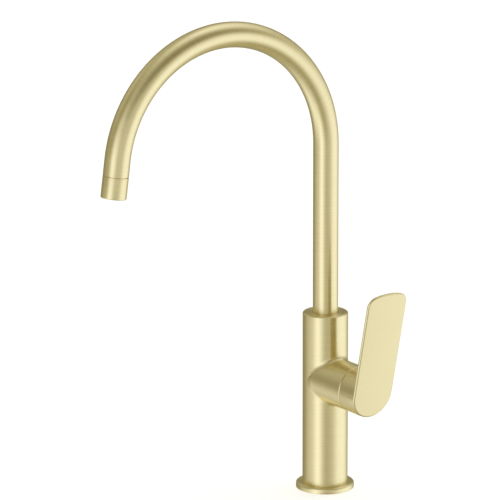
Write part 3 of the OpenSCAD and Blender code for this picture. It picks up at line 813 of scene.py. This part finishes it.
def lever_piece():
    """The lever in one solid: a leaning paddle that grows out of a round hub, whose back has a hollow cup."""
    flat, way, lower = paddle_outline()
    shell = Shell()
    edge = paddle_edge()
    front = [shell.paddle_row(flat - way * inset, depth, PADDLE_CROWN) for inset, depth in edge]
    cover_face(shell, front[0], flat - way * edge[0][0], edge[0][1], (lower - 1) // 2)
    for a, b in zip(front, front[1:]):
        shell.join(a, b)

    # the rounding of the back edge, which dies out where the hub takes over
    height = np.clip(flat[:, 1], 0, BOSS_R)
    fade = np.minimum(PADDLE_BACK_EDGE, BACK_EDGE_SHARE * (BOSS_R - np.sqrt(BOSS_R ** 2 - height ** 2)))
    back = [shell.paddle_row(flat - way * (fade * (1 - math.cos(t)))[:, None],
                             PADDLE_DEPTH - fade * (1 - math.sin(t))) for t in quarter_turn()]
    shell.join(front[-1], back[0])
    upper = list(range(lower - 1, len(flat))) + [0]
    for a, b in zip(back, back[1:]):
        shell.join([a[i] for i in upper], [b[i] for i in upper], closed=False)

    # the upper half of the hub, where it leaves the paddle's back, then the whole hub
    angles = np.linspace(0, math.pi, CIRCLE_STEPS // 2 + 1)[1:-1]
    crown = shell.paddle_row(np.stack([BOSS_R * np.cos(angles), BOSS_R * np.sin(angles)], 1), PADDLE_DEPTH)
    shell.faces.append(tuple([back[-1][i] for i in upper] + crown[::-1]))
    last = back[0][:lower] + crown
    outward = np.array([shell.points[i][1:] - (0, BOSS_Z) for i in last])
    outward /= np.linalg.norm(outward, axis=1)[:, None]
    for radius, x in hub_profile():
        row = shell.row(np.full(len(last), x), outward * radius)
        shell.join(last, row)
        last = row
    mesh = finished_mesh("lever", shell.points, shell.faces)

    # the slot for the spindle and the hole for the cover plug
    low, high = (Vector(corner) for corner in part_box("lever_spindle"))
    low, high = low - Vector((PLAY,) * 3), high + Vector((4 * PLAY, PLAY, PLAY))
    mesh = boolean(mesh, block((HUB_X - PLAY, low.y, low.z), high), "DIFFERENCE")
    low, high = (Vector(corner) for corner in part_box("grub_cover"))
    mesh = drilled(mesh, Matrix.Translation(((low.x + high.x) / 2, 0, 0)), (high.x - low.x) / 2 + PLAY,
                   BOSS_Z - BOSS_R - OVERRUN, high.z + PLAY)
    mesh.name = "lever"
    lay_grain(mesh, lever_grain)
    piece("lever", mesh, "lever", BRUSHED_FLAT, SHARP_ON_LEVER, "lever_handle")


# ---- studio ----

def lobe(tree, angle, centre, width, power):
    """How much of a softbox is seen at an angle, from 1 at its middle to 0 well outside it, in degrees."""
    turn = math_node(tree, "WRAP", math_node(tree, "SUBTRACT", angle, float(centre)), 180.0, -180.0)
    away = math_node(tree, "ABSOLUTE", math_node(tree, "DIVIDE", turn, float(width)))
    near = math_node(tree, "POWER", away, float(power))
    return math_node(tree, "EXPONENT", math_node(tree, "MULTIPLY", near, -1.0))


def studio_world():
    """A white room with softboxes round the object. The camera itself sees plain white behind the object."""
    world = bpy.data.worlds.new("studio")
    bpy.context.scene.world = world
    world.use_nodes = True
    tree = world.node_tree
    tree.nodes.clear()
    direction = tree.nodes.new("ShaderNodeTexCoord").outputs["Generated"]
    split = tree.nodes.new("ShaderNodeSeparateXYZ")
    tree.links.new(direction, split.inputs[0])
    x, y, z = split.outputs
    to_degrees = math.degrees(1)
    heading = math_node(tree, "MULTIPLY", math_node(tree, "ARCTAN2", y, x), to_degrees)
    azimuth = math_node(tree, "SUBTRACT", heading, FRONT)
    rise = math_node(tree, "MULTIPLY", math_node(tree, "ARCSINE", z), to_degrees)
    below = math_node(tree, "MAXIMUM", math_node(tree, "MULTIPLY", z, -1.0), 0.0)
    light = spread_about(tree, below, TABLE_LIGHT, ROOM_LIGHT)
    for centre, width, power, middle, height, strength in SOFTBOXES.values():
        seen = math_node(tree, "MULTIPLY", lobe(tree, azimuth, centre, width, power),
                         lobe(tree, rise, middle, height, power))
        light = spread_about(tree, seen, float(strength), light)
    facing = tree.nodes.new("ShaderNodeVectorMath")
    facing.operation = "DOT_PRODUCT"
    tree.links.new(direction, facing.inputs[0])
    facing.inputs[1].default_value = CEILING_WAY
    upward = math_node(tree, "MAXIMUM", facing.outputs["Value"], 0.0)
    above = math_node(tree, "POWER", upward, CEILING_SHARPNESS)
    light = spread_about(tree, above, CEILING_LIGHT, light)
    warmth = tree.nodes.new("ShaderNodeMapRange")
    tree.links.new(light, warmth.inputs["Value"])
    warmth.inputs["From Min"].default_value = WARM_BELOW
    room = tree.nodes.new("ShaderNodeBackground")
    tint = mix_colour(tree, "MIX", warmth.outputs["Result"], WARM_TINT, COOL_TINT)
    tree.links.new(tint, room.inputs["Color"])
    tree.links.new(light, room.inputs["Strength"])
    plain = tree.nodes.new("ShaderNodeBackground")
    plain.inputs["Color"].default_value = (1, 1, 1, 1)
    pick = tree.nodes.new("ShaderNodeMixShader")
    tree.links.new(tree.nodes.new("ShaderNodeLightPath").outputs["Is Camera Ray"], pick.inputs[0])
    tree.links.new(room.outputs[0], pick.inputs[1])
    tree.links.new(plain.outputs[0], pick.inputs[2])
    tree.links.new(pick.outputs[0], tree.nodes.new("ShaderNodeOutputWorld").inputs["Surface"])


def floor_piece():
    """A pale floor just under the foot, which doesn't show in the metal."""
    ways = ((-1, -1), (1, -1), (1, 1), (-1, 1))
    corners = [(x * FLOOR_REACH, y * FLOOR_REACH, -FLOOR_DROP) for x, y in ways]
    floor = bpy.data.objects.new("floor", finished_mesh("floor", corners, [(0, 1, 2, 3)]))
    bpy.context.scene.collection.objects.link(floor)
    material, tree, shader = new_material("pale_floor", Roughness=FLOOR_ROUGHNESS,
                                          Emission_Color=(1, 1, 1, 1), Emission_Strength=FLOOR_GLOW)
    place = tree.nodes.new("ShaderNodeTexCoord").outputs["Object"]
    speckle = place_group(tree, FINE_GRAIN, Place=place, Light=grey(0.9), Dark=grey(0.89), Scale=FLOOR_GRAIN)
    tree.links.new(speckle.outputs["Color"], shader.inputs["Base Color"])
    floor.data.materials.append(material)
    floor.visible_glossy = False


def studio_camera():
    data = bpy.data.cameras.new("camera")
    data.lens, data.sensor_width = CAMERA_LENS, CAMERA_SENSOR
    data.clip_start, data.clip_end = CAMERA_REACH
    camera = bpy.data.objects.new("camera", data)
    bpy.context.scene.collection.objects.link(camera)
    turn = Matrix((CAMERA_RIGHT, CAMERA_UP, -Vector(CAMERA_AHEAD))).transposed().to_4x4()
    camera.matrix_world = Matrix.Translation(CAMERA_PLACE) @ turn
    bpy.context.scene.camera = camera
    bpy.context.scene.view_settings.view_transform = "Standard"


studio_camera()
studio_world()
floor_piece()
finish_cad_nodes()
column_piece()
ring_piece()
spout_piece()
sleeve_piece()
lever_piece()
